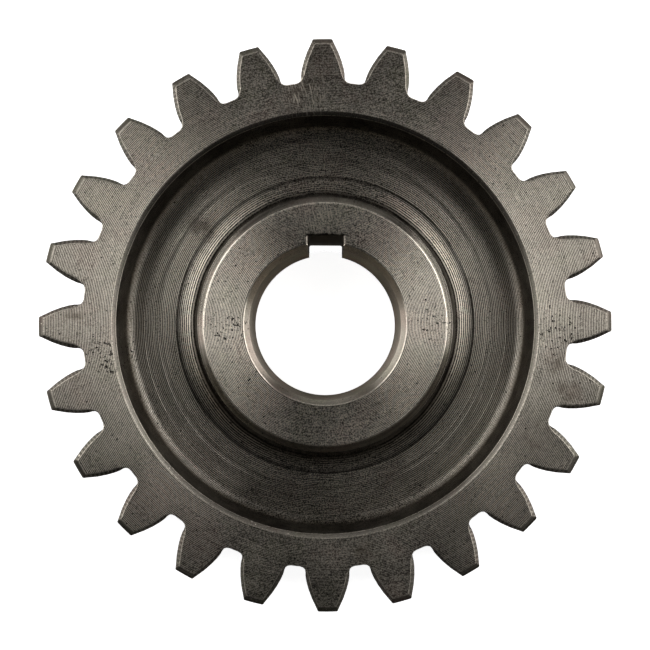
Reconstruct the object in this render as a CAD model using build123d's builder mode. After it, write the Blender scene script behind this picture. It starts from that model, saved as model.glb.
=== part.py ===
from build123d import *
from math import acos, asin, atan2, cos, degrees, isclose, pi, radians, sin, sqrt, tan
import os

os.makedirs("parts", exist_ok=True)

# Spur gear wheel, turned and hobbed from one piece of steel
#
# It lies on its back face. The origin is on the axis at that face, +Z points out
# of the front face, and the keyway is on the +Y side of the bore. Millimetres.

# Teeth
module = 5.0
teeth = 24
pressure_angle = 20.0
profile_shift = 0.22  # outwards, as a share of the module
addendum_factor = 0.88  # tooth above the shifted pitch line, per module
dedendum_factor = 1.14  # tooth below the shifted pitch line, per module
root_fillet = 1.5
tooth_phase = 0.93  # degrees, from the keyway's middle to the nearest tooth's
tip_chamfer = 1.0  # turned on the blank before the teeth were cut
flank_break = 0.45  # filed along the flanks, down to the root fillets

# Body
face_width = 24.0
rim_thickness = 7.5  # from the tooth roots in to the recesses, at the faces
rim_chamfer = 0.8
hub_radius = 29.25  # outer edge of the hub, at its faces
hub_chamfer = 1.55

# Annular recesses either side of the web
front_recess_depth = 10.2
back_recess_depth = 6.0
wall_draft = 4.0  # degrees, on the hub's and the rim's walls in the recesses
hub_sweep = 5.5  # reach of the curve at the hub's foot, up its wall and along the web
hub_relief = 0.2  # that curve ends this much deeper than the web
rim_foot_height = 1.65  # of the cone at the foot of the rim's front wall
rim_foot_slope = 60.0  # degrees, of that cone
rim_fillet = 1.9  # from the cone into the web

# Bore and keyway
bore_radius = 17.5
bore_chamfer_width = 1.1
bore_chamfer_depth = 1.9
key_width = 8.2
key_depth = 2.7  # from the top of the bore to the keyway's flat top
key_corner = 0.45
key_break = 0.3

# How far a cutting shape reaches past the face that it opens
overrun = 1.0

# How closely an edge's height or radius has to match, to be picked by it
match = 0.0001

# Worked out from the sizes above
pitch_angle = 2 * pi / teeth
pitch_radius = module * teeth / 2
base_radius = pitch_radius * cos(radians(pressure_angle))
tip_radius = pitch_radius + module * (profile_shift + addendum_factor)
root_radius = pitch_radius + module * (profile_shift - dedendum_factor)
rim_radius = root_radius - rim_thickness


def involute(angle):
    return tan(angle) - angle


def polar(radius, angle):
    return Vector(radius * cos(angle), radius * sin(angle))


# Half the angle of one tooth on the base circle, and of one space
half_tooth = (
    pi / (2 * teeth)
    + 2 * profile_shift * tan(radians(pressure_angle)) / teeth
    + involute(radians(pressure_angle))
)
half_space = pitch_angle / 2 - half_tooth

# The root fillet's centre lies on this circle. The fillet touches the involute where
# it can, and otherwise a radial line down from the involute's foot.
fillet_orbit = root_radius + root_fillet
touch = sqrt(max(fillet_orbit**2 - base_radius**2, 0)) - root_fillet
foot_roll = max(touch, 0) / base_radius
end_roll = sqrt(((tip_radius + overrun) / base_radius) ** 2 - 1)
middle_roll = (foot_roll + end_roll) / 2


def flank_point(roll):
    """Point of the involute on the +Y side of a tooth space that is centred on +X."""
    reach = half_space + roll
    return polar(base_radius, reach) - polar(base_radius * roll, reach + pi / 2)


def flank_arc(far_roll, widening):
    """Arc that follows the involute from its middle, moved into the tooth by widening."""
    middle = flank_point(middle_roll)
    chord = flank_point(far_roll) - middle
    into_tooth = polar(1, half_space + middle_roll + pi / 2)
    radius = chord.length**2 / (2 * chord.dot(into_tooth))
    from_centre = into_tooth * -radius
    to_far = from_centre + chord
    start = atan2(from_centre.Y, from_centre.X)
    size = atan2(to_far.Y, to_far.X) - start
    return CenterArc(middle - from_centre, radius - widening, degrees(start), degrees(size))


def tooth_space(height):
    """The space between two teeth, from below their roots out past their tips."""
    if touch > 0:
        fillet_angle = half_space + foot_roll - acos(base_radius / fillet_orbit)
        fillet_end = flank_point(foot_roll)
    else:
        fillet_angle = half_space - asin(root_fillet / fillet_orbit)
        fillet_end = polar(sqrt(fillet_orbit**2 - root_fillet**2), half_space)
    centre = polar(fillet_orbit, fillet_angle)
    fillet_start = polar(root_radius, fillet_angle)
    outwards = (fillet_start + fillet_end - centre * 2).normalized()
    with BuildSketch(Plane.XY.offset(height)) as space:
        with BuildLine():
            ThreePointArc((root_radius, 0), polar(root_radius, fillet_angle / 2), fillet_start)
            ThreePointArc(fillet_start, centre + outwards * root_fillet, fillet_end)
            if touch <= 0:
                Line(fillet_end, flank_point(foot_roll))
            flank_arc(foot_roll, 0)
            end = flank_arc(end_roll, 0) @ 1
            Line(end, (end.X, 0))
            mirror(about=Plane.XZ)
        make_face()
    return space.sketch


def between_flanks(height, widening):
    """The part of that space that lies between its flanks, each moved out by widening."""
    with BuildSketch(Plane.XY.offset(height)) as space:
        with BuildLine():
            foot = flank_arc(foot_roll, widening) @ 1
            end = flank_arc(end_roll, widening) @ 1
            Line(foot, (foot.X, 0))
            Line(end, (end.X, 0))
            mirror(about=Plane.XZ)
        make_face()
    return space.sketch


def wall_radii(depth):
    """Radii of the hub's and of the rim's drafted wall, at a depth below the face."""
    lean = depth * tan(radians(wall_draft))
    return hub_radius + lean, rim_radius - lean


def front_recess():
    """Half-section of the front recess, drawn outwards from the axis, face at Y 0."""
    web = -front_recess_depth
    hub_corner = Vector(wall_radii(hub_relief - web)[0], web - hub_relief)
    up_the_hub = (Vector(hub_radius, 0) - hub_corner).normalized() * hub_sweep
    sweep_end = hub_corner + (hub_sweep, 0)
    cone_top = Vector(wall_radii(-web - rim_foot_height)[1], web + rim_foot_height)
    cone_foot = (cone_top.X - rim_foot_height / tan(radians(rim_foot_slope)), web)
    with BuildSketch(front) as section:
        with BuildLine():
            Polyline((rim_radius, 0), (hub_radius, 0), hub_corner + up_the_hub)
            Bezier(hub_corner + up_the_hub, hub_corner, sweep_end)
            FilletPolyline(
                sweep_end,
                (sweep_end.X, web),
                cone_foot,
                cone_top,
                (rim_radius, 0),
                radius=[0, rim_fillet, 0],
            )
        make_face()
    return section.sketch


def back_recess():
    """Half-section of the back recess, drawn in the same way, with square corners."""
    hub_corner, rim_corner = wall_radii(back_recess_depth)
    with BuildSketch(back) as section:
        with BuildLine():
            Polyline(
                (hub_radius, 0),
                (hub_corner, -back_recess_depth),
                (rim_corner, -back_recess_depth),
                (rim_radius, 0),
                close=True,
            )
        make_face()
    return section.sketch


def face_edges():
    """The gear wheel's edges, as it stands, that lie in its front or its back face."""
    return [
        edge
        for edge in gear_wheel.edges()
        if any(isclose(edge.center().Z, height, abs_tol=match) for height in (0, face_width))
    ]


def rings(radius):
    """The circles among those edges that have one radius."""
    circles = [edge for edge in face_edges() if edge.geom_type == GeomType.CIRCLE]
    return [edge for edge in circles if isclose(edge.radius, radius, abs_tol=match)]


# Section planes, with their second axis out of the front and out of the back face
front = Plane((0, 0, face_width), x_dir=(1, 0, 0), z_dir=(0, -1, 0))
back = Plane((0, 0, 0), x_dir=(1, 0, 0), z_dir=(0, 1, 0))

# The solid that cuts one tooth space. It flares at both faces, to break the flanks' edges.
with BuildPart() as space_cutter:
    add(tooth_space(-overrun))
    extrude(amount=face_width + 2 * overrun)
    for height, outwards in ((face_width, 1), (0, -1)):
        loft(
            [
                between_flanks(height - outwards * flank_break, 0),
                between_flanks(height + outwards * overrun, flank_break + overrun),
            ],
            ruled=True,
        )

with BuildPart() as gear_wheel:
    # Turned blank with its bore
    with BuildSketch():
        Circle(tip_radius)
        Circle(bore_radius, mode=Mode.SUBTRACT)
    extrude(amount=face_width)

    # Recesses either side of the web
    revolve(front_recess(), mode=Mode.SUBTRACT)
    revolve(back_recess(), mode=Mode.SUBTRACT)

    # Turned edges
    chamfer(rings(tip_radius), tip_chamfer)
    chamfer(rings(rim_radius), rim_chamfer)
    chamfer(rings(hub_radius), hub_chamfer)
    for mouth in rings(bore_radius):
        hub_face = [face for face in gear_wheel.faces().filter_by(Axis.Z) if mouth in face.edges()]
        chamfer(mouth, bore_chamfer_width, bore_chamfer_depth, reference=hub_face[0])

    # Teeth
    first_space = 90 + tooth_phase + degrees(pitch_angle) / 2
    with PolarLocations(0, teeth, start_angle=first_space):
        add(space_cutter.part, mode=Mode.SUBTRACT)

    # Keyway, with its edges broken at both faces
    with BuildSketch():
        Rectangle(key_width, bore_radius + key_depth, align=(Align.CENTER, Align.MIN))
        fillet(vertices().group_by(Axis.Y)[-1], key_corner)
    extrude(amount=face_width, mode=Mode.SUBTRACT)
    around_key = [
        edge
        for edge in face_edges()
        if bore_radius < edge.center().Y < hub_radius and abs(edge.center().X) < key_width
    ]
    chamfer(around_key, key_break)

gear_wheel.part.label = "gear_wheel"
export_step(gear_wheel.part, "parts/gear_wheel.step")
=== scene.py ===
import math

import bpy
import numpy as np
from mathutils import Matrix, Vector


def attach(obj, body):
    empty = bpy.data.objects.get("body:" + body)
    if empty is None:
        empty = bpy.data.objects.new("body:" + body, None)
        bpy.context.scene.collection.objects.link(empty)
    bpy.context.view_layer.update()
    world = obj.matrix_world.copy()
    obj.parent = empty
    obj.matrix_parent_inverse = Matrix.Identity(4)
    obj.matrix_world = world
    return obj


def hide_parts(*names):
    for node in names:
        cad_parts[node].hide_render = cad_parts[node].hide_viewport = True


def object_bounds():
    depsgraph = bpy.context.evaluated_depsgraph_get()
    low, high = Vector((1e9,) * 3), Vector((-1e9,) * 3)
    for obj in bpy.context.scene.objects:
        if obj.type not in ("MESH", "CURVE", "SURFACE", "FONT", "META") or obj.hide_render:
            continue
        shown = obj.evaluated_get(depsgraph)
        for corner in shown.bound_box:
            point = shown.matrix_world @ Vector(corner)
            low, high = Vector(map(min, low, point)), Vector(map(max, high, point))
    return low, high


# The gear wheel as it was photographed: worn turned steel on white paper.
#
# Metres, in the frame's own axes: the wheel lies on its back face, on the floor at
# Z 0, with its axis on Z and its keyway on the +Y side of the bore.
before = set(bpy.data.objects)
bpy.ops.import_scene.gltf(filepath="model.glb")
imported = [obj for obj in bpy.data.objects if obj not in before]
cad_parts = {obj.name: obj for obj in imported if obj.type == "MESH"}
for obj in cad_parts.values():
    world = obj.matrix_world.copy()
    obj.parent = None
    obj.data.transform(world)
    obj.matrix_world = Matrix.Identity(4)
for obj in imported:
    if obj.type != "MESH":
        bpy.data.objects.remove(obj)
cad_low, cad_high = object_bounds()

# Sizes taken from the frame
FACE_WIDTH = cad_high.z - cad_low.z
TIP_RADIUS = (cad_high.x - cad_low.x) / 2

# Teeth
TEETH = 24
MODULE = 0.005
PRESSURE_ANGLE = math.radians(20)
BASE_RADIUS = MODULE * TEETH / 2 * math.cos(PRESSURE_ANGLE)
PROFILE_SHIFT = 0.22
ROOT_RADIUS = 0.0554
ROOT_FILLET = 0.0015
FIRST_TOOTH = math.radians(90.93)
TIP_CHAMFER = 0.0013
TIP_CHAMFER_DEPTH = 0.00072
TIP_EDGE_ROUND = 0.0003
FLANK_FULLNESS = 0.00017  # how far each flank stands out of its involute
FLANK_FOOT = 0.24  # share of the tooth's height in which a change of its flanks sets in
FLANK_BREAK = 0.00082
FLANK_BREAK_DEPTH = 0.00055
ROOT_BREAK = 0.00012
KNOCK_FADE = 0.0004  # depth in which a knock on a tooth's edge falls to about a third
CORNER_BOW = 0.29  # share of a round corner's size by which its middle lies inside
SHARP_ANGLE = math.radians(38)  # between two faces whose edge is to look sharp

# Bore and keyway
BORE_RADIUS = 0.0175
BORE_CHAMFER_WIDTH = 0.0011
BORE_CHAMFER_DEPTH = 0.0019
KEY_WIDTH = 0.0082
KEY_TOP = 0.0202
KEY_CORNER = 0.00045
KEY_BREAK = 0.0003
KEY_BUMP = 0.00022  # burr in the middle of the keyway's top
KEY_BUMP_REACH = 2.5  # stations
KEY_RAGGED_FADE = 0.0006  # depth in which the ragged edge falls to about a third

# Hub, web and rim
HUB_RADIUS = 0.02925
HUB_CHAMFER = 0.00155
RIM_RADIUS = 0.0479
RIM_CHAMFER = 0.0008
MIDDLE_RADIUS = (HUB_RADIUS + RIM_RADIUS) / 2
DRAFT = math.radians(4)
FRONT_DEPTH = 0.0102
BACK_DEPTH = 0.006
HUB_FILLET = 0.0058
HUB_RELIEF = 0.0002
RIM_FILLET_REACH = 0.00114  # along the web and up the cone
RIM_FOOT_HEIGHT = 0.00165
RIM_FOOT_SLOPE = math.radians(60)
BACK_FILLET = 0.0006
EDGE_ROUND = 0.00012
HUB_EDGE_ROUND = 1.8 * EDGE_ROUND
HUB_FACE_RING = HUB_RADIUS - 0.0075  # where the rows on the hub's face start
RIM_FACE_RING = ROOT_RADIUS - 0.0035  # where the rows on the rim's face end

# Fine ridges that the turning tool left on the front web: radius of each
WEB_RIDGES = (0.03863, 0.04006, 0.04054, 0.04101, 0.04316)
RIDGE_HEIGHT = 0.00004
RIDGE_WIDTH = 0.00009

# Steps of the half outline from the middle of a tooth space to the middle of a tooth
ROOT_STEPS = 2
FILLET_STEPS = 3
FLANK_STEPS = 5
CORNER_STEPS = 2
TIP_STEPS = 3
PER_TOOTH = 2 * (ROOT_STEPS + FILLET_STEPS + FLANK_STEPS + CORNER_STEPS + TIP_STEPS)
STATIONS = TEETH * PER_TOOTH

# Steps of the keyway's half outline
KEY_TOP_STEPS = 18
KEY_CORNER_STEPS = 4
KEY_SIDE_STEPS = 8

# Steps of the curves in a side's section
EDGE_STEPS = 2
HUB_FOOT_STEPS = 9
RIM_FOOT_STEPS = 6

# Wear and painted highlight on a rounded edge: at its ends, and how fast it grows from there to its
# middle
LEAST_WEAR_AND_HIGHLIGHT = 0.12
WEAR_AND_HIGHLIGHT_GROWTH = 3.5

# Grime and painted shade: the share of the surface that they cover
CHAMFER_GRIME = 0.3
# painted shade on the hub's chamfer on the keyway's side
KEYWAY_SIDE_SHADE = 0.55  # more, on the hub's chamfer on the keyway's side
# painted shade on the hub's wall
HUB_WALL_SHADE = 0.87
# painted shade: a dark line in the step at the hub's foot
HUB_STEP_SHADE = 0.85
HUB_STEP_RADIUS = HUB_RADIUS + 0.0061
# painted shadow at the hub's foot
HUB_FOOT_SHADOW = 0.5  # more, at the hub's foot on the side away from the keyway
HUB_FOOT_RADII = (0.0325, 0.0355)
# most painted shade and shadow at the hub's foot
MOST_PAINTED_SHADE = 0.9
WEB_GRIME = 0.1
# painted shade on the rim's fillet and on the rim's wall
RIM_FILLET_SHADE = 0.15  # more, above the web
RIM_WALL_SHADE = 0.7  # more, above the fillet
TIP_GRIME = 0.2
# painted shade in the keyway
KEYWAY_SHADE = 0.97

# Shares of the recess's depth between which the painted shade on its walls and on the rim's fillet
# fades downwards
HUB_WALL_FADE = (0.86, 0.95)
RIM_WALL_FADE = (0.8, 0.9)
RIM_FILLET_FADE = (0.95, 1.0)
STEP_START = 0.99  # the step at the hub's foot lies deeper than this share

# How far round each side of the wheel reaches: sine of the angle from the X axis at which
# the side starts, and at which it counts in full
KEYWAY_SIDE = (0.8, 0.97)
FAR_SIDE = (0.3, 0.8)

# Kinds of surface, in the order of the finishes below
FACED, HUB_FACED, RIM_CHAMFERED, HUB_CHAMFERED, MOUTH, RECESS, BROKEN, CUT, BORED = range(9)

# Each finish's name, grey level and roughness, how far its grooves draw out its gloss, the
# grooves' feed and depth, and the contrast and clearness with which they show
FINISHES = (
    ("faced_steel", 0.31, 0.46, 0.7, 0.000367, 0.000006, 0.85, 1.0),
    ("hub_faced_steel", 0.49, 0.45, 0.75, 0.000344, 0.000006, 1.0, 1.0),
    ("rim_chamfered_steel", 0.09, 0.42, 0.3, 0.0004, 0.000002, 0.25, 1.0),
    ("hub_chamfered_steel", 0.36, 0.27, 0.3, 0.0004, 0.000002, 0.2, 1.0),
    ("mouth_steel", 0.40, 0.36, 0.8, 0.0004, 0.000002, 0.25, 1.0),
    ("recess_steel", 0.38, 0.40, 0.65, 0.00041, 0.000008, 1.0, 1.3),
    # the teeth's broken edges: a low grey level as painted shade
    ("broken_steel_shaded", 0.085, 0.50, 0.0, 0.0009, 0.000003, 0.3, 1.0),
    ("cut_steel", 0.22, 0.40, 0.2, 0.0006, 0.000001, 0.15, 1.0),
    ("bored_steel", 0.46, 0.38, 0.8, 0.0004, 0.000002, 0.3, 1.0),
)

# Colours of the steel and of what lies on it
STEEL_HUE = (1.1, 1.0, 0.85)
PINKISH = (1.06, 0.94, 0.94, 1)
GREENISH = (0.95, 1.0, 0.9, 1)
STAIN = (0.075, 0.052, 0.034, 1)
PIT = (0.016, 0.013, 0.011, 1)
# dark brown of the grime and of the painted shade
GRIME_AND_SHADE = (0.028, 0.024, 0.019, 1)
GLOSS_TINT = (0.35, 0.33, 0.3, 1)
BRIGHTEST_GROOVE = 0.88
SCRATCH_LEVEL = 0.88
SPECK_LEVEL = 0.8
# grey of the worn edges, lighter partly as a painted highlight
WORN_HIGHLIGHT_LEVEL = 0.85

# Fineness of the noises in the steel, per metre
PATCHES = 45.0
HUES = 110.0
CLOUD = 230.0
PORES = 1300.0
SPECKS = 1500.0
GRAIN = 3400.0
SCRATCHES_ACROSS = (3000.0, 700.0)
SCRATCHES_ALONG = 300.0

# Places where the steel is stained, pitted or scratched: X, Y and radius
STAINS = (
    (0.0472, -0.0262, 0.0060),
    (0.0555, -0.0145, 0.0050),
    (0.0528, -0.0085, 0.0042),
    (0.0490, -0.0228, 0.0045),
    (0.0094, -0.0518, 0.0045),
    (-0.0050, 0.0530, 0.0060),
    (-0.0573, 0.0000, 0.0045),
    (-0.0300, 0.0220, 0.0060),
)
PITTED = (
    (0.0250, 0.0010, 0.0065),
    (-0.0225, -0.0010, 0.0080),
    (0.0530, -0.0020, 0.0090),
    (-0.0500, -0.0080, 0.0080),
)
SCRATCHED = (
    (-0.0010, 0.0245, 0.0085),
    (-0.0055, 0.0530, 0.0080),
)

# Floor
FLOOR_SIZE = 6.0
FLOOR_GAP = 0.00002  # below the wheel's back face
FLOOR_LIP = 0.001  # between the wheel's own outlines and the edges of the floor's opening
PAPER = (0.8, 0.8, 0.8, 1)
PAPER_GLOW = 0.93
OPEN_PAPER = (2.5 * TIP_RADIUS, 4 * TIP_RADIUS)  # where it turns white in the wheel's gloss

# Each light's name, azimuth, elevation, width, height and power. Azimuths count from +X to
# +Y, in degrees as the elevations are.
LIGHT_DISTANCE = 0.6
LIGHTS = (
    ("soft_box_right", 17, 18, 0.62, 0.42, 3.45),
    ("soft_box_left", 163, 18, 0.62, 0.42, 3.0),
    ("high_box_right", 25, 52, 0.4, 0.22, 0.42),
    ("high_box_left", 152, 52, 0.35, 0.22, 0.46),
    ("far_box", 90, 14, 0.6, 0.25, 0.7),
)
ROOM_LIGHT = 0.02
HORIZON = 0.02  # upward part of the directions at which the low part of the world ends
LOW_GLOSS = 0.5  # how white that low part is in the wheel's gloss

# Camera
CAMERA_DISTANCE = 0.216  # above the front face
CAMERA_OFFSET = -0.0034  # from the axis, towards +Y
CAMERA_AIM = (-0.00003, -0.00023)  # X and Y, in the front face
CAMERA_ROLL = math.radians(0.4)
LENS = 52.5  # mm
SENSOR = 36  # mm
CLIP_START = 0.01


def smooth(value, low, high):
    """0 below low, 1 above high, and a smooth rise between them."""
    share = np.clip((value - low) / (high - low), 0, 1)
    return share * share * (3 - 2 * share)


def fall(value, low, high):
    """1 below low, 0 above high, and a smooth fall between them."""
    return float(smooth(-value, -high, -low))


def wander(seed, slowest, fastest, size):
    """A smooth random change round the wheel, mostly within plus or minus size."""
    random = np.random.default_rng(seed)
    waves = 14
    counts = random.integers(slowest, fastest, waves)
    starts = random.uniform(0, 2 * math.pi, waves)
    turn = np.arange(STATIONS) * 2 * math.pi / STATIONS
    return size * np.cos(np.outer(counts, turn) + starts[:, None]).sum(0) / math.sqrt(waves)


def nicks(seed, count, size):
    """Small knocks at random places round the wheel, up to size deep."""
    narrowest, widest = 0.7, 2.2
    shallowest = 0.2
    random = np.random.default_rng(seed)
    places = random.uniform(0, STATIONS, count)
    widths = random.uniform(narrowest, widest, count)
    depths = size * random.uniform(shallowest, 1, count) ** 2
    station = np.arange(STATIONS)[:, None]
    away = np.abs((station - places + STATIONS / 2) % STATIONS - STATIONS / 2)
    return (depths * np.exp(-((away / widths) ** 2))).max(1)


def station_angles():
    """Angle of each station on a plain ring, from the middle of the first tooth."""
    return FIRST_TOOTH + np.arange(STATIONS) * 2 * math.pi / STATIONS


def stations_from_keyway():
    """Stations counted from the middle of the keyway's top, either way."""
    return (np.arange(STATIONS) + STATIONS / 2) % STATIONS - STATIONS / 2


def on_one_side(towards, low, high):
    """1 on the +Y side of the wheel, or with towards -1 on its -Y side, for each station."""
    return smooth(towards * np.sin(station_angles()), low, high)


def half_pitch(tip_radius):
    """Radii and angles from the middle of a tooth space to the middle of a tooth."""
    involute = math.tan(PRESSURE_ANGLE) - PRESSURE_ANGLE
    shifted = 2 * PROFILE_SHIFT * math.tan(PRESSURE_ANGLE) / TEETH
    half_tooth = math.pi / (2 * TEETH) + shifted + involute
    half_space = math.pi / TEETH - half_tooth
    orbit = ROOT_RADIUS + ROOT_FILLET
    foot_roll = (math.sqrt(orbit**2 - BASE_RADIUS**2) - ROOT_FILLET) / BASE_RADIUS
    fillet_angle = half_space + foot_roll - math.acos(BASE_RADIUS / orbit)
    tip_roll = math.sqrt(((tip_radius - TIP_EDGE_ROUND) / BASE_RADIUS) ** 2 - 1)

    # The involute flank, and the fillet that touches both it and the root
    rolls = np.linspace(foot_roll, tip_roll, FLANK_STEPS + 1)
    flank_radii = BASE_RADIUS * np.sqrt(1 + rolls**2)
    flank_angles = half_space + rolls - np.arctan(rolls)
    centre = orbit * np.exp(1j * fillet_angle)
    foot = flank_radii[0] * np.exp(1j * flank_angles[0])
    from_axis = np.angle(-centre)
    sweep = np.angle((foot - centre) / -centre)
    arc_angles = from_axis + np.linspace(0, sweep, FILLET_STEPS + 1)
    arc = centre + ROOT_FILLET * np.exp(1j * arc_angles)

    # The tip with its round edge
    edge_angle = flank_angles[-1] + TIP_EDGE_ROUND / tip_radius
    corner_radii = tip_radius - TIP_EDGE_ROUND * np.array([CORNER_BOW, 0])
    corner_angle = flank_angles[-1] + CORNER_BOW * TIP_EDGE_ROUND / tip_radius
    tip_angles = np.linspace(edge_angle, math.pi / TEETH, TIP_STEPS + 1)[1:]

    radii = np.concatenate(
        [
            np.full(ROOT_STEPS, ROOT_RADIUS),
            np.abs(arc),
            flank_radii[1:],
            corner_radii,
            np.full(TIP_STEPS, tip_radius),
        ]
    )
    angles = np.concatenate(
        [
            np.linspace(0, fillet_angle, ROOT_STEPS + 1)[:-1],
            np.angle(arc),
            flank_angles[1:],
            [corner_angle, edge_angle],
            tip_angles,
        ]
    )
    return radii, angles


def tooth_outline(widening, root_widening, tip_radius):
    """X and Y round the teeth. Widening, one value or one for each station, moves the
    flanks into the teeth, and root_widening the roots outwards."""
    radii, angles = half_pitch(tip_radius)
    foot_height = FLANK_FOOT * (TIP_RADIUS - ROOT_RADIUS)
    up_the_flank = smooth(radii, ROOT_RADIUS, ROOT_RADIUS + foot_height)
    moved = up_the_flank.copy()
    moved[-TIP_STEPS:] = np.linspace(1, 0, TIP_STEPS + 1)[1:]
    radii = radii + root_widening * (1 - up_the_flank)

    # From the middle of one tooth, down its flank and up the next one's, to the next middle
    radii = np.tile(np.concatenate([radii[::-1], radii[1:-1]]), TEETH)
    moved = np.tile(np.concatenate([-moved[::-1], moved[1:-1]]), TEETH)
    angles = math.pi / TEETH + np.concatenate([-angles[::-1], angles[1:-1]])
    turns = np.repeat(np.arange(TEETH) * 2 * math.pi / TEETH, PER_TOOTH)
    angles = FIRST_TOOTH + np.tile(angles, TEETH) + turns + moved * widening / BASE_RADIUS
    return radii * np.cos(angles), radii * np.sin(angles)


def bore_outline(bore_widening, key_widening):
    """X and Y round the bore and its keyway, from the middle of the keyway's top."""
    radius = BORE_RADIUS + bore_widening
    half_width = KEY_WIDTH / 2 + key_widening
    top = KEY_TOP + key_widening
    top_x = np.linspace(0, half_width - KEY_CORNER, KEY_TOP_STEPS + 1)[:-1]
    bend = np.linspace(math.pi / 2, 0, KEY_CORNER_STEPS + 1)[:-1]
    corner_x = half_width - KEY_CORNER + KEY_CORNER * np.cos(bend)
    corner_y = top - KEY_CORNER + KEY_CORNER * np.sin(bend)
    foot_y = math.sqrt(radius**2 - half_width**2)
    side_x = np.full(KEY_SIDE_STEPS, half_width)
    side_y = np.linspace(top - KEY_CORNER, foot_y, KEY_SIDE_STEPS + 1)[:-1]
    round_steps = STATIONS // 2 - KEY_TOP_STEPS - KEY_CORNER_STEPS - KEY_SIDE_STEPS
    away = np.linspace(math.asin(half_width / radius), math.pi, round_steps + 1)
    x = np.concatenate([top_x, corner_x, side_x, radius * np.sin(away)])
    y = np.concatenate([np.full(KEY_TOP_STEPS, top), corner_y, side_y, radius * np.cos(away)])
    return np.concatenate([-x, x[-2:0:-1]]), np.concatenate([y, y[-2:0:-1]])


def rounded(corners, curves):
    """Points of a section with its corners rounded: (radius, depth, wear and painted highlight) for
    each.

    Each corner goes with the reach of its curve along both its sides, and its steps.
    """
    points = []
    for index, (corner, (reach, steps)) in enumerate(zip(corners, curves)):
        corner = np.array(corner, float)
        if not reach:
            points.append((*corner, 0.0))
            continue
        before = np.array(corners[index - 1], float) - corner
        after = np.array(corners[index + 1], float) - corner
        start = corner + before / np.linalg.norm(before) * reach
        end = corner + after / np.linalg.norm(after) * reach
        for share in np.linspace(0, 1, steps + 1):
            bow = (1 - share) ** 2 * start + 2 * share * (1 - share) * corner + share**2 * end
            points.append((*bow, LEAST_WEAR_AND_HIGHLIGHT + WEAR_AND_HIGHLIGHT_GROWTH * share * (1 - share)))
    return points


class Skin:
    """Rows of vertices round the wheel, each joined to the next by a strip of faces."""

    def __init__(self):
        self.rows = []
        self.kinds = []
        self.wear_and_highlight = []
        self.grime_and_shade = []

    def add(self, x, y, z, kind, wear_and_highlight=0.0, grime_and_shade=0.0):
        self.rows.append(np.stack([x, y, np.broadcast_to(z, x.shape)], 1))
        self.kinds.append(kind)
        self.wear_and_highlight.append(np.broadcast_to(wear_and_highlight, x.shape))
        self.grime_and_shade.append(np.broadcast_to(grime_and_shade, x.shape))

    def ring(self, radius, z, kind, wear_and_highlight=0.0, grime_and_shade=0.0):
        turn = station_angles()
        self.add(radius * np.cos(turn), radius * np.sin(turn), z, kind, wear_and_highlight, grime_and_shade)

    def mesh(self, name):
        """One closed mesh of all the rows, the last joined to the first."""
        count = len(self.rows)
        row = np.arange(count)[:, None] * STATIONS
        next_row = np.roll(row, -1)
        here = np.arange(STATIONS)[None, :]
        ahead = np.roll(np.arange(STATIONS), -1)[None, :]
        quads = np.stack([row + here, next_row + here, next_row + ahead, row + ahead], 2)
        made = bpy.data.meshes.new(name)
        made.from_pydata(np.concatenate(self.rows).tolist(), [], quads.reshape(-1, 4).tolist())
        made.polygons.foreach_set("material_index", np.repeat(self.kinds, STATIONS))
        made.polygons.foreach_set("use_smooth", np.ones(count * STATIONS, bool))
        for label, rows in (("wear_and_highlight", self.wear_and_highlight), ("grime_and_shade", self.grime_and_shade)):
            layer = made.attributes.new(label, "FLOAT", "POINT")
            layer.data.foreach_set("value", np.concatenate(rows).astype(np.float32))
        made.set_sharp_from_angle(angle=SHARP_ANGLE)
        made.update()
        return made


def section(depth, hub_fillet, hub_relief, rim_reach, foot_height, foot_slope, ridges):
    """Section of one recess with the hub's and the rim's edges, as corners outwards."""
    lean = math.tan(DRAFT)
    floor = depth + hub_relief
    hub_corner = (HUB_RADIUS + floor * lean, floor)
    sweep = hub_fillet * math.tan((math.pi / 2 - DRAFT) / 2)
    sharp = (0, 1)
    corners = [
        ((HUB_RADIUS - HUB_CHAMFER, 0), (HUB_EDGE_ROUND, EDGE_STEPS)),
        ((HUB_RADIUS + HUB_CHAMFER * lean, HUB_CHAMFER), (EDGE_ROUND, EDGE_STEPS)),
        (hub_corner, (sweep, HUB_FOOT_STEPS)),
    ]
    web_start = hub_corner[0] + sweep
    if hub_relief:
        corners.append(((web_start + EDGE_ROUND / 2, floor), sharp))
        corners.append(((web_start + EDGE_ROUND, depth), sharp))
    for radius in ridges:
        corners.append(((radius - RIDGE_WIDTH, depth), sharp))
        corners.append(((radius, depth - RIDGE_HEIGHT), sharp))
        corners.append(((radius + RIDGE_WIDTH, depth), sharp))
    cone_top = (RIM_RADIUS - (depth - foot_height) * lean, depth - foot_height)
    cone_foot = (cone_top[0] - foot_height / math.tan(foot_slope), depth)
    corners.append((cone_foot, (rim_reach, RIM_FOOT_STEPS)))
    if foot_height:
        corners.append((cone_top, sharp))
    wall_top = (RIM_RADIUS - RIM_CHAMFER * lean, RIM_CHAMFER)
    corners.append((wall_top, (EDGE_ROUND, EDGE_STEPS)))
    corners.append(((RIM_RADIUS + RIM_CHAMFER, 0), (EDGE_ROUND, EDGE_STEPS)))
    return corners


def kind_between(radii, depths):
    """Kind of the surface between two neighbouring points of a side's section."""
    on_hub_side = max(radii) < MIDDLE_RADIUS
    chamfer = HUB_CHAMFER if on_hub_side else RIM_CHAMFER
    if max(depths) > chamfer + 0.6 * EDGE_ROUND:
        return RECESS
    if max(depths) - min(depths) > EDGE_ROUND:
        return HUB_CHAMFERED if on_hub_side else RIM_CHAMFERED
    return HUB_FACED if on_hub_side else FACED


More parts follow.
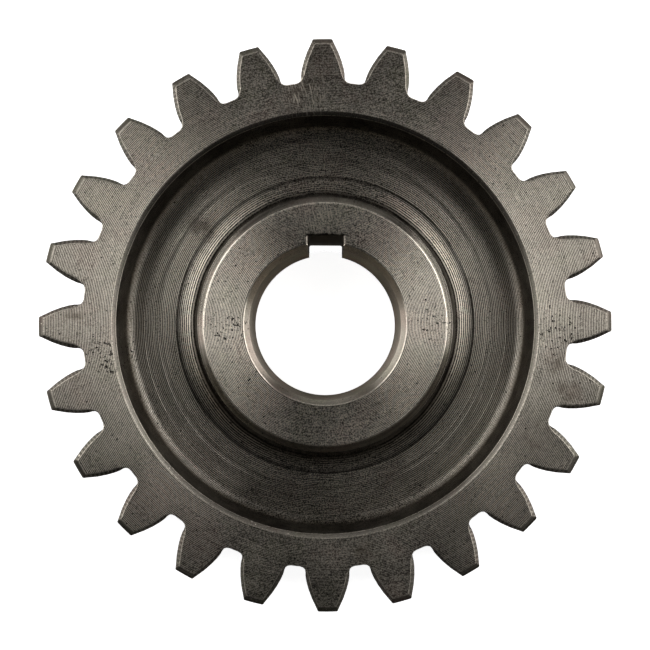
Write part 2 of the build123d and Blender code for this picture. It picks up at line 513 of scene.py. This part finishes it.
def grime_and_shade_at(radius, depth, recess_depth, on_front):
    """Grime and painted shade on one side of the wheel, one value or one for each station.

    Most of it is painted shade, on the recess's two walls.
    """
    on_hub_side = radius < MIDDLE_RADIUS
    chamfer = HUB_CHAMFER if on_hub_side else RIM_CHAMFER
    share = depth / recess_depth
    if depth <= EDGE_ROUND:
        return 0.0
    if depth <= chamfer + EDGE_ROUND / 2:
        grime_and_shade = CHAMFER_GRIME
        # Painted shade: the hub's chamfer is darker on the keyway's side
        if on_front and on_hub_side:
            grime_and_shade = grime_and_shade + KEYWAY_SIDE_SHADE * on_one_side(1, *KEYWAY_SIDE)
        return grime_and_shade
    if not on_hub_side:
        # Painted shade on the rim's fillet and wall, over the web's grime
        fillet_shade = RIM_FILLET_SHADE * fall(share, *RIM_FILLET_FADE)
        return WEB_GRIME + fillet_shade + RIM_WALL_SHADE * fall(share, *RIM_WALL_FADE)
    # A dark line of painted shade in the step at the hub's foot
    in_step = share > STEP_START and radius > HUB_STEP_RADIUS
    # Painted shade on the hub's wall, fading towards its foot
    grime_and_shade = HUB_STEP_SHADE if in_step else HUB_WALL_SHADE * fall(share, *HUB_WALL_FADE)
    # A painted shadow at the hub's foot, on the side away from the keyway
    if on_front:
        foot_shadow = HUB_FOOT_SHADOW * fall(radius, *HUB_FOOT_RADII)
        grime_and_shade = np.minimum(grime_and_shade + foot_shadow * on_one_side(-1, *FAR_SIDE), MOST_PAINTED_SHADE)
    return grime_and_shade


def add_side(skin, corners, height, up, outwards):
    """Rows of one face of the wheel between its bore and its teeth."""
    points = [(HUB_FACE_RING, 0), *(place for place, _ in corners), (RIM_FACE_RING, 0)]
    curves = [(0, 1), *(curve for _, curve in corners), (0, 1)]
    rows = rounded(points, curves)
    recess_depth = max(depth for _, depth, _ in rows)
    if not outwards:
        rows.reverse()
    for index, (radius, depth, wear_and_highlight) in enumerate(rows):
        next_radius, next_depth, _ = rows[min(index + 1, len(rows) - 1)]
        kind = kind_between((radius, next_radius), (depth, next_depth))
        if depth > 2 * EDGE_ROUND:
            wear_and_highlight = 0.0
        grime_and_shade = grime_and_shade_at(radius, depth, recess_depth, up > 0)
        skin.ring(radius, height - up * depth, kind, wear_and_highlight, grime_and_shade)


def add_bore_mouth(skin, height, up, outwards):
    """Rows of the bore's chamfer and of the keyway's broken edges at one face."""
    away = stations_from_keyway()
    burr = wander(seed=71, slowest=30, fastest=150, size=0.00011)
    burr = (burr + KEY_BUMP * np.exp(-((away / KEY_BUMP_REACH) ** 2))) * (up > 0)
    in_key = np.abs(away) < KEY_TOP_STEPS + KEY_CORNER_STEPS + KEY_SIDE_STEPS
    # How much wider than its finished size the bore and the keyway are, depth, and wear with its
    # painted highlight
    steps = (
        (2 * EDGE_ROUND, EDGE_ROUND, 0.0, 0.0),
        (0.3 * EDGE_ROUND, 0.3 * EDGE_ROUND, 0.3 * EDGE_ROUND, 1.0),
        (0.0, 0.0, EDGE_ROUND, 0.4),
        (0.0, 0.0, KEY_BREAK, 0.15),
        (0.0, 0.0, BORE_CHAMFER_DEPTH - EDGE_ROUND, 0.1),
        (-0.2 * EDGE_ROUND, 0.0, BORE_CHAMFER_DEPTH, 0.5),
        (0.0, 0.0, BORE_CHAMFER_DEPTH + 2 * EDGE_ROUND, 0.0),
    )
    if outwards:
        steps = steps[::-1]
    for index, (bore_extra, key_extra, depth, wear_and_highlight) in enumerate(steps):
        chamfer = BORE_CHAMFER_WIDTH * max(1 - depth / BORE_CHAMFER_DEPTH, 0)
        x, y = bore_outline(chamfer + bore_extra, max(KEY_BREAK - depth, 0) + key_extra)
        on_top = smooth(y, KEY_TOP - KEY_CORNER, KEY_TOP)
        y = y + on_top * burr * math.exp(-depth / KEY_RAGGED_FADE)
        next_depth = steps[min(index + 1, len(steps) - 1)][2]
        if min(depth, next_depth) >= BORE_CHAMFER_DEPTH - EDGE_ROUND / 2:
            kind = BORED
        elif outwards and index == len(steps) - 1:
            kind = HUB_FACED
        else:
            kind = MOUTH
        # Painted shade in the keyway
        grime_and_shade = KEYWAY_SHADE * smooth(depth, 0, EDGE_ROUND / 2) * in_key
        skin.add(x, y, height - up * depth, kind, wear_and_highlight * ~in_key, grime_and_shade)


def add_tooth_edges(skin, height, up, outwards, seed):
    """Rows of the teeth's broken and chamfered edges at one face."""
    uneven = 1 + wander(seed, slowest=8, fastest=120, size=0.1)
    knocks = nicks(seed + 1, count=40, size=0.0002)
    # Inset, depth, wear with its painted highlight, grime and kind
    steps = (
        (1.5 * EDGE_ROUND, 0.0, 0.0, 0.22, BROKEN),
        (0.6 * EDGE_ROUND, 0.1 * EDGE_ROUND, 0.6, 0.0, BROKEN),
        (0.0, 0.8 * EDGE_ROUND, 0.0, 0.0, BROKEN),
        (0.0, FLANK_BREAK_DEPTH - 0.5 * EDGE_ROUND, 0.0, 0.0, BROKEN),
        (0.0, FLANK_BREAK_DEPTH + 0.5 * EDGE_ROUND, 0.0, 0.1, BROKEN),
        (0.0, TIP_CHAMFER_DEPTH - 0.5 * EDGE_ROUND, 0.0, 0.1, BROKEN),
        (0.0, TIP_CHAMFER_DEPTH, 0.3, 0.0, CUT),
        (0.0, TIP_CHAMFER_DEPTH + 1.2 * EDGE_ROUND, 0.1, 0.0, CUT),
    )
    if not outwards:
        steps = steps[::-1]
    for inset, depth, wear_and_highlight, grime_and_shade, kind in steps:
        broken = FLANK_BREAK * max(1 - depth / FLANK_BREAK_DEPTH, 0)
        chamfered = TIP_CHAMFER * max(1 - depth / TIP_CHAMFER_DEPTH, 0)
        widening = broken * uneven + inset + knocks * math.exp(-depth / KNOCK_FADE)
        root_widening = -(max(ROOT_BREAK - depth, 0) + inset)
        tip_radius = TIP_RADIUS - chamfered - inset
        x, y = tooth_outline(widening - FLANK_FULLNESS, root_widening, tip_radius)
        if depth > 0:
            on_tip = np.hypot(x, y) > tip_radius - TIP_EDGE_ROUND
            grime_and_shade = np.maximum(grime_and_shade, TIP_GRIME * on_tip)
        skin.add(x, y, height - up * depth, kind, wear_and_highlight, grime_and_shade)


def gear_wheel():
    """The whole wheel as one closed mesh."""
    front = section(
        depth=FRONT_DEPTH,
        hub_fillet=HUB_FILLET,
        hub_relief=HUB_RELIEF,
        rim_reach=RIM_FILLET_REACH,
        foot_height=RIM_FOOT_HEIGHT,
        foot_slope=RIM_FOOT_SLOPE,
        ridges=WEB_RIDGES,
    )
    back = section(
        depth=BACK_DEPTH,
        hub_fillet=BACK_FILLET,
        hub_relief=0,
        rim_reach=BACK_FILLET,
        foot_height=0,
        foot_slope=math.pi / 2,
        ridges=(),
    )
    skin = Skin()
    add_bore_mouth(skin, FACE_WIDTH, 1, outwards=True)
    add_side(skin, front, FACE_WIDTH, 1, outwards=True)
    add_tooth_edges(skin, FACE_WIDTH, 1, outwards=True, seed=11)
    x, y = tooth_outline(-FLANK_FULLNESS, 0, TIP_RADIUS)
    for share in (0.7, 0.5, 0.3):
        skin.add(x, y, FACE_WIDTH * share, CUT)
    add_tooth_edges(skin, 0, -1, outwards=False, seed=23)
    add_side(skin, back, 0, -1, outwards=False)
    add_bore_mouth(skin, 0, -1, outwards=False)
    return skin.mesh("gear_wheel_worn")


class Graph:
    """The nodes of one material or world.

    What adds a node gives back its output, apart from node(), which gives back the node.
    """

    def __init__(self, owner):
        owner.use_nodes = True
        self.tree = owner.node_tree
        self.tree.nodes.clear()

    def node(self, kind, settings=None, **inputs):
        made = self.tree.nodes.new("ShaderNode" + kind)
        for name, value in (settings or {}).items():
            setattr(made, name, value)
        for name, value in inputs.items():
            self.put(made.inputs[name.replace("_", " ")], value)
        return made

    def put(self, socket, value):
        if isinstance(value, bpy.types.NodeSocket):
            self.tree.links.new(value, socket)
        else:
            socket.default_value = value

    def math(self, operation, *values):
        made = self.tree.nodes.new("ShaderNodeMath")
        made.operation = operation
        for socket, value in zip(made.inputs, values):
            self.put(socket, value)
        return made.outputs[0]

    def plus(self, first, second):
        return self.math("ADD", first, second)

    def times(self, first, second):
        return self.math("MULTIPLY", first, second)

    def larger(self, first, second):
        return self.math("MAXIMUM", first, second)

    def length(self, x, y):
        return self.math("SQRT", self.plus(self.times(x, x), self.times(y, y)))

    def between(self, value, low, high, start=0.0, end=1.0):
        """Start where value is low, end where it is high, smoothly between."""
        made = self.node("MapRange", {"interpolation_type": "SMOOTHSTEP"})
        limits = (("From Min", low), ("From Max", high), ("To Min", start), ("To Max", end))
        for name, number in limits:
            self.put(made.inputs[name], number)
        self.put(made.inputs["Value"], value)
        return made.outputs[0]

    def noise(self, vector, scale, detail=3.0, roughness=0.55):
        made = self.node("TexNoise", Vector=vector, Scale=scale, Detail=detail, Roughness=roughness)
        return made.outputs[0]

    def mix(self, factor, first, second, blend="MIX"):
        made = self.tree.nodes.new("ShaderNodeMix")
        made.data_type = "RGBA"
        made.blend_type = blend
        self.put(made.inputs[0], factor)
        self.put(made.inputs[6], first)
        self.put(made.inputs[7], second)
        return made.outputs[2]

    def vector(self, x, y, z):
        made = self.tree.nodes.new("ShaderNodeCombineXYZ")
        for socket, value in zip(made.inputs, (x, y, z)):
            self.put(socket, value)
        return made.outputs[0]

    def attribute(self, name):
        made = self.tree.nodes.new("ShaderNodeAttribute")
        made.attribute_name = name
        return made.outputs["Fac"]

    def mix_shaders(self, factor, first, second):
        made = self.node("MixShader")
        for socket, value in zip(made.inputs, (factor, first, second)):
            self.put(socket, value)
        return made.outputs[0]

    def finish(self, kind, surface):
        self.put(self.node(kind).inputs["Surface"], surface)


def grey(level):
    """Steel's colour at one level of brightness."""
    return tuple(min(level * share, 1.0) for share in STEEL_HUE) + (1.0,)


def near(graph, place, spots):
    """1 at the middle of any of the spots, and 0 beyond its radius."""
    flat = graph.node("VectorMath", {"operation": "MULTIPLY"})
    graph.put(flat.inputs[0], place)
    graph.put(flat.inputs[1], (1, 1, 0))
    nearest = 0.0
    for x, y, reach in spots:
        away = graph.node("VectorMath", {"operation": "DISTANCE"})
        graph.put(away.inputs[0], flat.outputs[0])
        graph.put(away.inputs[1], (x, y, 0))
        spot = graph.between(away.outputs["Value"], reach, 0.2 * reach)
        nearest = graph.larger(nearest, spot)
    return nearest


class Turned:
    """Marks that turning about Z leaves: grooves one feed apart that come and go round the
    wheel, uneven lines and grain between them."""

    def __init__(self, graph, feed, clearness):
        self.graph = graph
        self.place = graph.node("TexCoord").outputs["Object"]
        self.x, self.y, self.z = graph.node("SeparateXYZ", Vector=self.place).outputs
        radius = graph.length(self.x, self.y)
        self.around_x = graph.math("DIVIDE", self.x, radius)
        self.around_y = graph.math("DIVIDE", self.y, radius)
        # Walls along the axis have their grooves too, so the steps count up with Z as well
        self.steps = graph.math("DIVIDE", graph.plus(radius, graph.times(self.z, 0.6)), feed)

        drift = graph.times(self.noise(0.05, 1.5), 9.0)
        wave = graph.math("SINE", graph.plus(graph.times(self.steps, 2 * math.pi), drift))
        cut_in = graph.between(self.noise(0.15, 4.0), 0.3, 0.6, 0.2, 0.42)
        self.grooves = graph.times(wave, cut_in)

        lines = graph.times(graph.plus(self.noise(1.1, 9.0), self.noise(1.4, 90.0)), 0.5)
        self.grain = graph.noise(self.place, GRAIN, 3.0, 0.7)
        rough_lines = graph.plus(graph.times(lines, 0.35), graph.times(self.grain, 0.65))

        # The regular grooves show least towards +Y and -Y
        towards_y = graph.math("ABSOLUTE", self.around_y)
        showing = graph.between(towards_y, 0.78, 0.97, 0.5, 0.12)
        self.marks = graph.plus(rough_lines, graph.times(self.grooves, showing))

        # How much lighter or darker the marks make the steel
        strength = graph.between(towards_y, 0.25, 0.65, clearness, 1.4 * clearness)
        self.shade = graph.times(graph.math("SUBTRACT", self.marks, 0.5), strength)

    def noise(self, fineness, waves):
        """Noise that changes with the grooves, and waves times round the wheel."""
        across = self.graph.times(self.steps, fineness)
        turn_x = self.graph.times(self.around_x, waves)
        turn_y = self.graph.times(self.around_y, waves)
        return self.graph.noise(self.graph.vector(across, turn_x, turn_y), 1.0, 2.0)


def steel_tint(graph, turned, level, contrast, patches):
    """Bare steel's colour, patchy and marked by turning."""
    tint = graph.mix(graph.between(patches, 0.35, 0.65), grey(0.85 * level), grey(1.15 * level))
    hues = graph.noise(turned.place, HUES, 3.0)
    tint = graph.mix(graph.between(hues, 0.5, 0.66, 0.0, 0.9), tint, PINKISH, "MULTIPLY")
    tint = graph.mix(graph.between(hues, 0.5, 0.34, 0.0, 0.8), tint, GREENISH, "MULTIPLY")
    light = graph.between(turned.shade, 0.0, 0.11, 0.0, contrast)
    tint = graph.mix(light, tint, grey(min(2.6 * level, BRIGHTEST_GROOVE)))
    dark = graph.between(turned.shade, 0.0, -0.11, 0.0, contrast)
    return graph.mix(dark, tint, grey(0.12 * level))


def scratches(graph, turned):
    """1 in the slanting scratches of the scratched places."""
    fine, slant = SCRATCHES_ACROSS
    across = graph.plus(graph.times(turned.x, fine), graph.times(turned.y, slant))
    streaks = graph.vector(across, graph.times(turned.y, SCRATCHES_ALONG), turned.z)
    streaky = graph.between(graph.noise(streaks, 1.0, 3.0), 0.53, 0.6)
    return graph.times(near(graph, turned.place, SCRATCHED), streaky)


def steel(name, level, roughness, anisotropy, feed, depth, contrast, clearness):
    """Worn steel of one level of grey, turned about Z.

    Feed is the tool's step from one groove to the next and depth the grooves' depth, in
    metres. Contrast is how far grooves and grain change the grey, and clearness how soon.
    """
    material = bpy.data.materials.new(name)
    graph = Graph(material)
    turned = Turned(graph, feed, clearness)
    place = turned.place
    patches = graph.noise(place, PATCHES, 4.0)
    cloud = graph.noise(place, CLOUD, 5.0, 0.65)
    tint = steel_tint(graph, turned, level, contrast, patches)

    # Stains, pits, scratches, specks, grime with painted shade, and worn edges with a painted
    # highlight, each over the ones before it
    stained = graph.times(near(graph, place, STAINS), graph.between(cloud, 0.4, 0.62))
    stained = graph.larger(stained, graph.between(cloud, 0.6, 0.78, 0.0, 0.6))
    tint = graph.mix(graph.times(stained, 0.55), tint, STAIN)
    weak = graph.times(near(graph, place, PITTED), 0.09)
    pitted = graph.between(graph.plus(graph.noise(place, PORES, 3.0, 0.6), weak), 0.665, 0.695)
    tint = graph.mix(pitted, tint, PIT)
    tint = graph.mix(graph.times(scratches(graph, turned), 0.85), tint, grey(SCRATCH_LEVEL))
    specks = graph.between(graph.noise(place, SPECKS, 2.0, 0.5), 0.7, 0.76)
    tint = graph.mix(graph.times(specks, 0.6), tint, grey(SPECK_LEVEL))
    grime_and_shade = graph.attribute("grime_and_shade")
    # Grime, and painted shade where the attribute darkens the recess, the keyway and the hub
    tint = graph.mix(graph.times(grime_and_shade, graph.between(cloud, 0.3, 0.7, 1.0, 0.86)), tint, GRIME_AND_SHADE)
    # Worn edges, lighter partly as a painted highlight
    worn_and_highlight = graph.times(graph.attribute("wear_and_highlight"), graph.between(turned.grain, 0.38, 0.6, 0.3, 1.0))
    tint = graph.mix(worn_and_highlight, tint, grey(WORN_HIGHLIGHT_LEVEL))

    rough = graph.between(patches, 0.3, 0.7, roughness - 0.04, roughness + 0.05)
    rough = graph.plus(rough, graph.times(stained, 0.15))
    rough = graph.math("SUBTRACT", rough, graph.times(worn_and_highlight, 0.05))
    groove_height = graph.between(grime_and_shade, 0.2, 0.9, 4.0, 0.8)
    height = graph.plus(turned.marks, graph.times(turned.grooves, groove_height))
    height = graph.math("SUBTRACT", height, graph.times(pitted, 1.5))
    bump = graph.node("Bump", Strength=1.0, Distance=depth, Height=height)
    tangent = graph.node("Tangent", {"direction_type": "RADIAL", "axis": "Z"})
    surface = graph.node(
        "BsdfPrincipled",
        Base_Color=tint,
        Metallic=1.0,
        Roughness=rough,
        Anisotropic=anisotropy,
        Anisotropic_Rotation=0.25,
        Specular_Tint=GLOSS_TINT,
        Normal=bump.outputs[0],
        Tangent=tangent.outputs[0],
    )
    graph.finish("OutputMaterial", surface.outputs[0])
    return material


def white_ground(name):
    """White floor that keeps the wheel's shadow, and that isn't there from below."""
    material = bpy.data.materials.new(name)
    graph = Graph(material)
    rays = graph.node("LightPath").outputs
    place = graph.node("TexCoord").outputs["Object"]
    x, y, _ = graph.node("SeparateXYZ", Vector=place).outputs
    away = graph.length(x, y)

    # White to the camera and, well away from the wheel, in the wheel's gloss
    glossy = graph.times(rays["Is Glossy Ray"], graph.between(away, *OPEN_PAPER))
    seen = graph.larger(rays["Is Camera Ray"], glossy)
    seen = graph.larger(seen, rays["Is Transmission Ray"])
    paper = graph.node("BsdfDiffuse", Color=PAPER).outputs[0]
    glow = graph.node("Emission", Color=(1, 1, 1, 1), Strength=PAPER_GLOW).outputs[0]
    lit = graph.node("AddShader")
    graph.put(lit.inputs[0], paper)
    graph.put(lit.inputs[1], glow)
    top = graph.mix_shaders(seen, paper, lit.outputs[0])

    # Nothing lies under the wheel itself, so that its back face is lit when seen from
    # below. Between the teeth the floor is there for the camera alone.
    narrow, wide = FLOOR_LIP, 1.5 * FLOOR_LIP
    out_of_bore = graph.between(away, BORE_RADIUS + narrow, BORE_RADIUS + wide)
    inside_roots = graph.between(away, ROOT_RADIUS - narrow, ROOT_RADIUS - wide)
    inside_tips = graph.between(away, TIP_RADIUS + wide, TIP_RADIUS + narrow)
    unseen = graph.math("SUBTRACT", 1.0, rays["Is Camera Ray"])
    between_teeth = graph.times(unseen, inside_tips)
    under = graph.times(out_of_bore, graph.larger(between_teeth, inside_roots))
    behind = graph.larger(graph.node("NewGeometry").outputs["Backfacing"], under)
    clear = graph.node("BsdfTransparent").outputs[0]
    graph.finish("OutputMaterial", graph.mix_shaders(behind, top, clear))
    return material


def studio_world():
    """White behind the wheel, and a dim room overhead."""
    world = bpy.data.worlds.new("studio")
    graph = Graph(world)
    rays = graph.node("LightPath").outputs
    direction = graph.node("TexCoord").outputs["Generated"]
    up = graph.node("SeparateXYZ", Vector=direction).outputs[2]
    low = graph.between(up, HORIZON, 0.0)
    below = graph.times(graph.times(rays["Is Glossy Ray"], low), LOW_GLOSS)
    seen = graph.larger(rays["Is Camera Ray"], rays["Is Transmission Ray"])
    seen = graph.larger(seen, below)
    room = graph.node("Background", Color=(1, 1, 1, 1), Strength=ROOM_LIGHT).outputs[0]
    white = graph.node("Background", Color=(1, 1, 1, 1), Strength=1.0).outputs[0]
    graph.finish("OutputWorld", graph.mix_shaders(seen, room, white))
    bpy.context.scene.world = world


def soft_light(name, azimuth, elevation, width, height, power):
    """A soft box that looks at the wheel, with its angles in radians."""
    lamp = bpy.data.lights.new(name, "AREA")
    lamp.shape = "RECTANGLE"
    lamp.size = width
    lamp.size_y = height
    lamp.energy = power
    light = bpy.data.objects.new(name, lamp)
    bpy.context.scene.collection.objects.link(light)
    flat = math.cos(elevation)
    towards = Vector((flat * math.cos(azimuth), flat * math.sin(azimuth), math.sin(elevation)))
    light.location = Vector((0, 0, FACE_WIDTH)) + towards * LIGHT_DISTANCE
    light.rotation_mode = "QUATERNION"
    light.rotation_quaternion = (-towards).to_track_quat("-Z", "Y")
    light.visible_camera = False


def photo_camera():
    """Camera close above the wheel, a little to its -Y side."""
    standing = Vector((0.0, CAMERA_OFFSET, FACE_WIDTH + CAMERA_DISTANCE))
    aim = Vector((*CAMERA_AIM, FACE_WIDTH))
    data = bpy.data.cameras.new("photo_camera")
    data.sensor_width = SENSOR
    data.lens = LENS
    data.clip_start = CLIP_START
    camera = bpy.data.objects.new("photo_camera", data)
    bpy.context.scene.collection.objects.link(camera)
    forward = (aim - standing).normalized()
    upright = Vector((-math.sin(CAMERA_ROLL), math.cos(CAMERA_ROLL), 0))
    right = forward.cross(upright).normalized()
    facing = Matrix((right, right.cross(forward), -forward)).transposed().to_4x4()
    camera.matrix_world = Matrix.Translation(standing) @ facing
    bpy.context.scene.camera = camera


bpy.context.scene.view_settings.view_transform = "Standard"

# The wheel
wheel = bpy.data.objects.new("worn_wheel", gear_wheel())
bpy.context.scene.collection.objects.link(wheel)
for finish in FINISHES:
    wheel.data.materials.append(steel(*finish))
normals = wheel.modifiers.new("even_normals", "WEIGHTED_NORMAL")
normals.keep_sharp = True
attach(wheel, "root")
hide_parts("gear_wheel")

# The floor
bpy.ops.mesh.primitive_plane_add(size=FLOOR_SIZE, location=(0, 0, -FLOOR_GAP))
floor = bpy.context.object
floor.name = "paper_floor"
floor.data.materials.append(white_ground("white_ground"))

# Light and camera
studio_world()
for name, azimuth, elevation, width, height, power in LIGHTS:
    soft_light(name, math.radians(azimuth), math.radians(elevation), width, height, power)
photo_camera()
